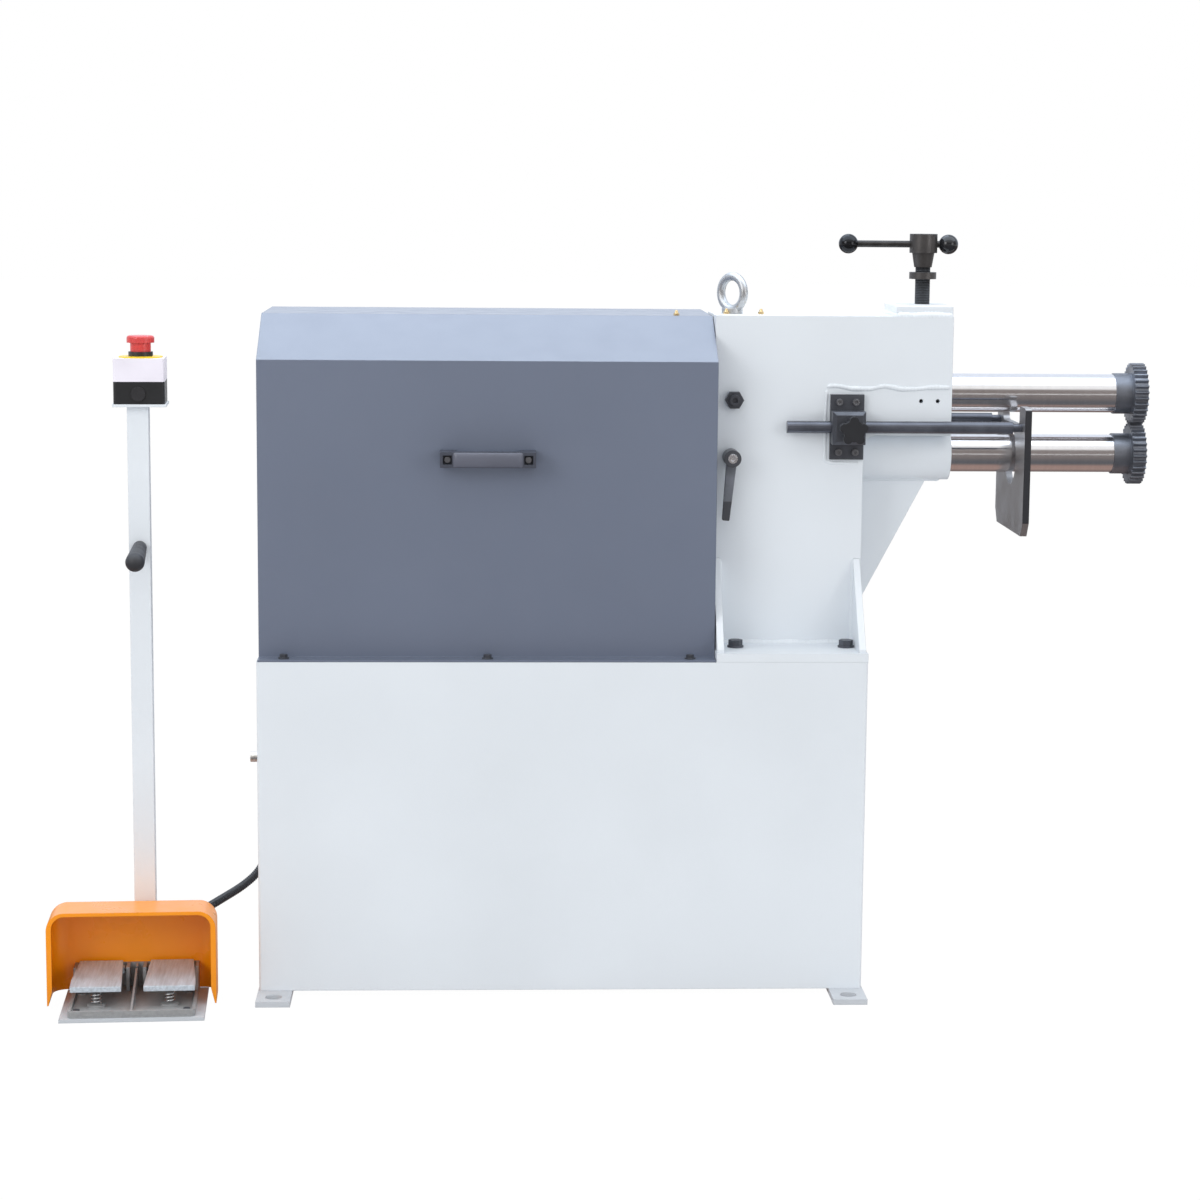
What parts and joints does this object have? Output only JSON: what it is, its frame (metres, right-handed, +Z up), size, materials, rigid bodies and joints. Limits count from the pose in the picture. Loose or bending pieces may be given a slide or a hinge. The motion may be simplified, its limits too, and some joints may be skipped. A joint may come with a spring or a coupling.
{
  "type": "swaging machine",
  "caption": "Floor standing motor driven swaging machine: cabinet, drive cover, head with two shafts and crimping rolls, sliding fence, and a foot pedal stand with stop button.",
  "frame": {"origin": "on the floor, in the middle of the four anchor holes under the cabinet", "axes": "+X along the shafts towards the rolls, +Y away from the operator, +Z up"},
  "size_m": [1.6137, 0.7065, 1.1106],
  "materials": {
    "cabinet_paint": "light grey, powder coated",
    "cover_paint": "blue grey, powder coated",
    "zinc_steel": "zinc plated",
    "black_steel": "black oxide",
    "polished_steel": "ground and polished",
    "machined_steel": "machined",
    "cast_grey": "painted casting",
    "black_plastic": "moulded",
    "bronze": "machined",
    "brass": "machined",
    "guard_orange": "moulded orange",
    "pedal_casting": "bare grey casting",
    "treadle_aluminium": "ribbed",
    "spring_steel": "drawn wire",
    "box_white": "moulded",
    "stop_yellow": "yellow disc, black collar and plug",
    "stop_red": "moulded red",
    "conduit_black": "ribbed black tube",
    "board_grey": "plate with grey modules"
  },
  "bodies": {
    "machine": {"base_cabinet": "cabinet_paint", "anchor_feet": "cabinet_paint", "electrics_panel": "board_grey", "drive_cover": "cover_paint", "cover_handle": "black_plastic", "hexagon_bolts": "black_steel", "socket_screws": "black_steel", "head_flange": "cabinet_paint", "head_frame": "cabinet_paint", "head_gussets": "cabinet_paint", "lower_arm_tube": "cabinet_paint", "arm_web": "cabinet_paint", "eye_bolt": "zinc_steel", "grease_nipples": "brass", "pivot_studs_and_nuts": "black_steel", "gearbox": "cast_grey", "motor": "cast_grey", "gearmotor_stand": "cast_grey", "screw_boss_plate": "cabinet_paint", "screw_nut": "bronze", "gauge_brackets": "black_steel", "stand_plate": "cabinet_paint", "pole": "cabinet_paint", "pole_grip": "black_plastic", "pedal_base": "pedal_casting", "pedal_screws_and_pins": "zinc_steel", "spring_left": "spring_steel", "spring_right": "spring_steel", "pedal_guard": "guard_orange", "stop_box_base": "black_plastic", "stop_box_lid": "box_white", "stop_disc_collar_and_plug": "stop_yellow", "conduit": "conduit_black", "conduit_glands": "black_plastic"},
    "door": {"side_door": "cabinet_paint"},
    "lock": {"lock_barrel": "zinc_steel"},
    "upper_block": {"upper_bearing_block": "cast_grey", "upper_bushes": "bronze"},
    "upper_line": {"upper_shaft": "polished_steel", "upper_crimp_roll": "black_steel", "upper_gear": "machined_steel"},
    "sleeve": {"lower_sleeve": "machined_steel", "lower_bushes": "bronze"},
    "lower_line": {"lower_shaft": "polished_steel", "lower_crimp_roll": "black_steel", "lower_gear": "machined_steel"},
    "pinion": {"drive_pinion": "machined_steel"},
    "pad": {"thrust_pad": "machined_steel"},
    "screw": {"adjusting_screw": "black_steel", "handle_hub": "black_steel"},
    "ring": {"stop_ring": "black_steel"},
    "cross_bar": {"t_bar_with_balls": "black_steel"},
    "lever": {"clamp_lever": "black_steel"},
    "fence": {"gauge_rods": "black_steel", "fence_plate": "black_steel"},
    "knob": {"gauge_knob": "black_plastic"},
    "left_treadle": {"treadle_left": "treadle_aluminium"},
    "right_treadle": {"treadle_right": "treadle_aluminium"},
    "stop_plunger": {"stop_stem": "black_plastic"},
    "stop_button": {"stop_cap": "stop_red"}
  },
  "joints": [
    {"name": "side_door_swing", "type": "hinge", "parent": "machine", "child": "door", "pos_m": [-0.4478, 0.1825, 0.3], "axis": [0, 0, -1], "range_deg": [0, 110]},
    {"name": "door_lock_turn", "type": "hinge", "parent": "door", "child": "lock", "pos_m": [-0.4425, -0.1705, 0.339], "axis": [-1, 0, 0], "range_deg": [0, 90]},
    {"name": "lower_sleeve_slide", "type": "slide", "parent": "machine", "child": "sleeve", "axis": [1, 0, 0], "range_m": [-0.003, 0.003]},
    {"name": "lower_shaft_spin", "type": "hinge", "parent": "sleeve", "child": "lower_line", "pos_m": [0.6, -0.0895, 0.786], "axis": [1, 0, 0], "continuous": true},
    {"name": "screw_lift", "type": "slide", "parent": "machine", "child": "pad", "axis": [0, 0, 1], "range_m": [-0.0015, 0.006]},
    {"name": "screw_turn", "type": "hinge", "parent": "pad", "child": "screw", "pos_m": [0.5346, -0.0895, 1], "axis": [0, 0, 1], "range_deg": [-215, 858]},
    {"name": "upper_block_tilt", "type": "hinge", "parent": "machine", "child": "upper_block", "pos_m": [0.25, -0.0895, 0.869], "axis": [0, -1, 0], "range_deg": [-0.31, 1.21]},
    {"name": "upper_shaft_spin", "type": "hinge", "parent": "upper_block", "child": "upper_line", "pos_m": [0.6, -0.0895, 0.876], "axis": [1, 0, 0], "continuous": true},
    {"name": "pinion_spin", "type": "hinge", "parent": "machine", "child": "pinion", "pos_m": [0.18, -0.0895, 0.7161], "axis": [1, 0, 0], "continuous": true},
    {"name": "stop_ring_slide", "type": "slide", "parent": "screw", "child": "ring", "axis": [0, 0, 1], "range_m": [-0.035, 0.006]},
    {"name": "t_bar_slide", "type": "slide", "parent": "screw", "child": "cross_bar", "axis": [1, 0, 0], "range_m": [-0.002, 0.076]},
    {"name": "clamp_lever_turn", "type": "hinge", "parent": "machine", "child": "lever", "pos_m": [0.2458, -0.19, 0.786], "axis": [0, -1, 0], "range_deg": [-3, 95]},
    {"name": "fence_slide", "type": "slide", "parent": "machine", "child": "fence", "axis": [1, 0, 0], "range_m": [-0.09, 0.06]},
    {"name": "gauge_knob_turn", "type": "hinge", "parent": "machine", "child": "knob", "pos_m": [0.4187, -0.215, 0.829], "axis": [0, -1, 0], "range_deg": [-180, 180]},
    {"name": "left_treadle_press", "type": "hinge", "parent": "machine", "child": "left_treadle", "pos_m": [-0.67249, -0.25366, 0.04], "axis": [0.9987, 0.0506, 0], "range_deg": [0, 7], "stiffness_Nm_per_rad": 5, "springref_deg": -5.73, "deforming": ["spring_left"]},
    {"name": "right_treadle_press", "type": "hinge", "parent": "machine", "child": "right_treadle", "pos_m": [-0.56872, -0.2484, 0.04], "axis": [0.9987, 0.0506, 0], "range_deg": [0, 7], "stiffness_Nm_per_rad": 5, "springref_deg": -5.73, "deforming": ["spring_right"]},
    {"name": "stop_press", "type": "slide", "parent": "machine", "child": "stop_plunger", "axis": [0, 0, 1], "range_m": [-0.004, 0], "stiffness_N_per_m": 1000, "springref_m": 0.004},
    {"name": "stop_cap_twist", "type": "hinge", "parent": "stop_plunger", "child": "stop_button", "pos_m": [-0.60696, -0.20428, 0.95], "axis": [0, 0, 1], "range_deg": [0, 30], "stiffness_Nm_per_rad": 0.1}
  ],
  "couplings": [
    {"joint": "upper_shaft_spin", "follows": "lower_shaft_spin", "ratio": -1},
    {"joint": "pinion_spin", "follows": "lower_shaft_spin", "ratio": -1.7059},
    {"joint": "screw_lift", "follows": "screw_turn", "m_per_rad": 0.00039789},
    {"joint": "upper_block_tilt", "follows": "screw_turn", "ratio": 0.0013981}
  ]
}
